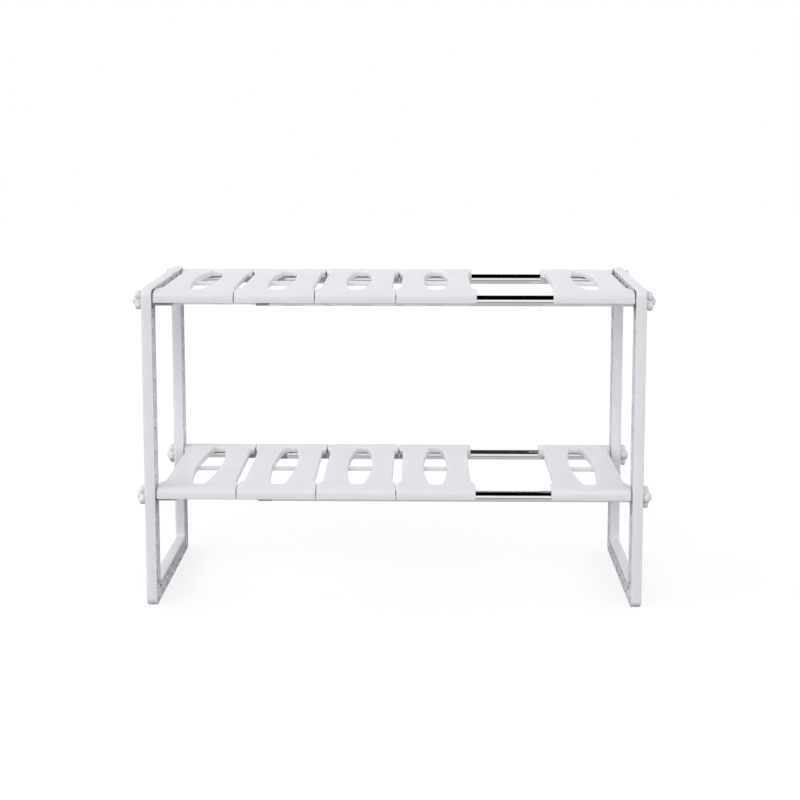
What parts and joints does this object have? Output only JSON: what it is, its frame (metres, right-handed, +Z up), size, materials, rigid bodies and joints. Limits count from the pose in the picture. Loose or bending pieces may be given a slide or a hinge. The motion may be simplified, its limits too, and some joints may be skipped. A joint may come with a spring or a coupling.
{
  "type": "under sink organizer",
  "caption": "Expandable two-tier rack: moulded side frames joined by telescopic steel tubes, with lift-off slotted shelf panels that leave a gap for pipes.",
  "frame": {"origin": "on the floor, midway between the side frames and midway front to rear", "axes": "+X from the left frame to the right one along the tubes, +Y to the rear, +Z up"},
  "size_m": [0.6274, 0.265, 0.391],
  "materials": {
    "white_plastic": "satin moulded",
    "polished_steel": "polished"
  },
  "bodies": {
    "left_side": {"left_side_frame": "white_plastic", "inner_rod_upper_front": "polished_steel", "inner_rod_upper_rear": "polished_steel", "inner_rod_lower_front": "polished_steel", "inner_rod_lower_rear": "polished_steel", "rod_cap_upper_front": "white_plastic", "rod_cap_upper_rear": "white_plastic", "rod_cap_lower_front": "white_plastic", "rod_cap_lower_rear": "white_plastic", "rod_guide_upper_front": "white_plastic", "rod_guide_upper_rear": "white_plastic", "rod_guide_lower_front": "white_plastic", "rod_guide_lower_rear": "white_plastic"},
    "right_side": {"right_side_frame": "white_plastic", "outer_tube_upper_front": "polished_steel", "outer_tube_upper_rear": "polished_steel", "outer_tube_lower_front": "polished_steel", "outer_tube_lower_rear": "polished_steel", "tube_collar_upper_front": "white_plastic", "tube_collar_upper_rear": "white_plastic", "tube_collar_lower_front": "white_plastic", "tube_collar_lower_rear": "white_plastic", "tube_plug_upper_front": "white_plastic", "tube_plug_upper_rear": "white_plastic", "tube_plug_lower_front": "white_plastic", "tube_plug_lower_rear": "white_plastic"},
    "thumb_screw_left_upper_front": {"thumb_screw_left_upper_front": "white_plastic"},
    "thumb_screw_left_upper_rear": {"thumb_screw_left_upper_rear": "white_plastic"},
    "thumb_screw_left_lower_front": {"thumb_screw_left_lower_front": "white_plastic"},
    "thumb_screw_left_lower_rear": {"thumb_screw_left_lower_rear": "white_plastic"},
    "thumb_screw_right_upper_front": {"thumb_screw_right_upper_front": "white_plastic"},
    "thumb_screw_right_upper_rear": {"thumb_screw_right_upper_rear": "white_plastic"},
    "thumb_screw_right_lower_front": {"thumb_screw_right_lower_front": "white_plastic"},
    "thumb_screw_right_lower_rear": {"thumb_screw_right_lower_rear": "white_plastic"},
    "shelf_panel_upper_1": {"shelf_panel_upper_1": "white_plastic"},
    "shelf_panel_upper_2": {"shelf_panel_upper_2": "white_plastic"},
    "shelf_panel_upper_3": {"shelf_panel_upper_3": "white_plastic"},
    "shelf_panel_upper_4": {"shelf_panel_upper_4": "white_plastic"},
    "shelf_panel_upper_5": {"shelf_panel_upper_5": "white_plastic"},
    "shelf_panel_lower_1": {"shelf_panel_lower_1": "white_plastic"},
    "shelf_panel_lower_2": {"shelf_panel_lower_2": "white_plastic"},
    "shelf_panel_lower_3": {"shelf_panel_lower_3": "white_plastic"},
    "shelf_panel_lower_4": {"shelf_panel_lower_4": "white_plastic"},
    "shelf_panel_lower_5": {"shelf_panel_lower_5": "white_plastic"}
  },
  "joints": [
    {"name": "width_extension", "type": "slide", "parent": "left_side", "child": "right_side", "axis": [1, 0, 0], "range_m": [-0.091, 0.252]},
    {"name": "turn_left_upper_front", "type": "hinge", "parent": "left_side", "child": "thumb_screw_left_upper_front", "pos_m": [-0.302, -0.1175, 0.376], "axis": [-1, 0, 0], "continuous": true},
    {"name": "turn_left_upper_rear", "type": "hinge", "parent": "left_side", "child": "thumb_screw_left_upper_rear", "pos_m": [-0.302, 0.1175, 0.376], "axis": [-1, 0, 0], "continuous": true},
    {"name": "turn_left_lower_front", "type": "hinge", "parent": "left_side", "child": "thumb_screw_left_lower_front", "pos_m": [-0.302, -0.1175, 0.136], "axis": [-1, 0, 0], "continuous": true},
    {"name": "turn_left_lower_rear", "type": "hinge", "parent": "left_side", "child": "thumb_screw_left_lower_rear", "pos_m": [-0.302, 0.1175, 0.136], "axis": [-1, 0, 0], "continuous": true},
    {"name": "turn_right_upper_front", "type": "hinge", "parent": "right_side", "child": "thumb_screw_right_upper_front", "pos_m": [0.302, -0.1175, 0.376], "axis": [1, 0, 0], "continuous": true},
    {"name": "turn_right_upper_rear", "type": "hinge", "parent": "right_side", "child": "thumb_screw_right_upper_rear", "pos_m": [0.302, 0.1175, 0.376], "axis": [1, 0, 0], "continuous": true},
    {"name": "turn_right_lower_front", "type": "hinge", "parent": "right_side", "child": "thumb_screw_right_lower_front", "pos_m": [0.302, -0.1175, 0.136], "axis": [1, 0, 0], "continuous": true},
    {"name": "turn_right_lower_rear", "type": "hinge", "parent": "right_side", "child": "thumb_screw_right_lower_rear", "pos_m": [0.302, 0.1175, 0.136], "axis": [1, 0, 0], "continuous": true},
    {"name": "lift_upper_1", "type": "slide", "parent": "left_side", "child": "shelf_panel_upper_1", "axis": [0, 0, 1], "range_m": [0, 0.06]},
    {"name": "lift_upper_2", "type": "slide", "parent": "left_side", "child": "shelf_panel_upper_2", "axis": [0, 0, 1], "range_m": [0, 0.06]},
    {"name": "lift_upper_3", "type": "slide", "parent": "left_side", "child": "shelf_panel_upper_3", "axis": [0, 0, 1], "range_m": [0, 0.06]},
    {"name": "lift_upper_4", "type": "slide", "parent": "left_side", "child": "shelf_panel_upper_4", "axis": [0, 0, 1], "range_m": [0, 0.06]},
    {"name": "lift_upper_5", "type": "slide", "parent": "right_side", "child": "shelf_panel_upper_5", "axis": [0, 0, 1], "range_m": [0, 0.06]},
    {"name": "lift_lower_1", "type": "slide", "parent": "left_side", "child": "shelf_panel_lower_1", "axis": [0, 0, 1], "range_m": [0, 0.06]},
    {"name": "lift_lower_2", "type": "slide", "parent": "left_side", "child": "shelf_panel_lower_2", "axis": [0, 0, 1], "range_m": [0, 0.06]},
    {"name": "lift_lower_3", "type": "slide", "parent": "left_side", "child": "shelf_panel_lower_3", "axis": [0, 0, 1], "range_m": [0, 0.06]},
    {"name": "lift_lower_4", "type": "slide", "parent": "left_side", "child": "shelf_panel_lower_4", "axis": [0, 0, 1], "range_m": [0, 0.06]},
    {"name": "lift_lower_5", "type": "slide", "parent": "right_side", "child": "shelf_panel_lower_5", "axis": [0, 0, 1], "range_m": [0, 0.06]}
  ]
}
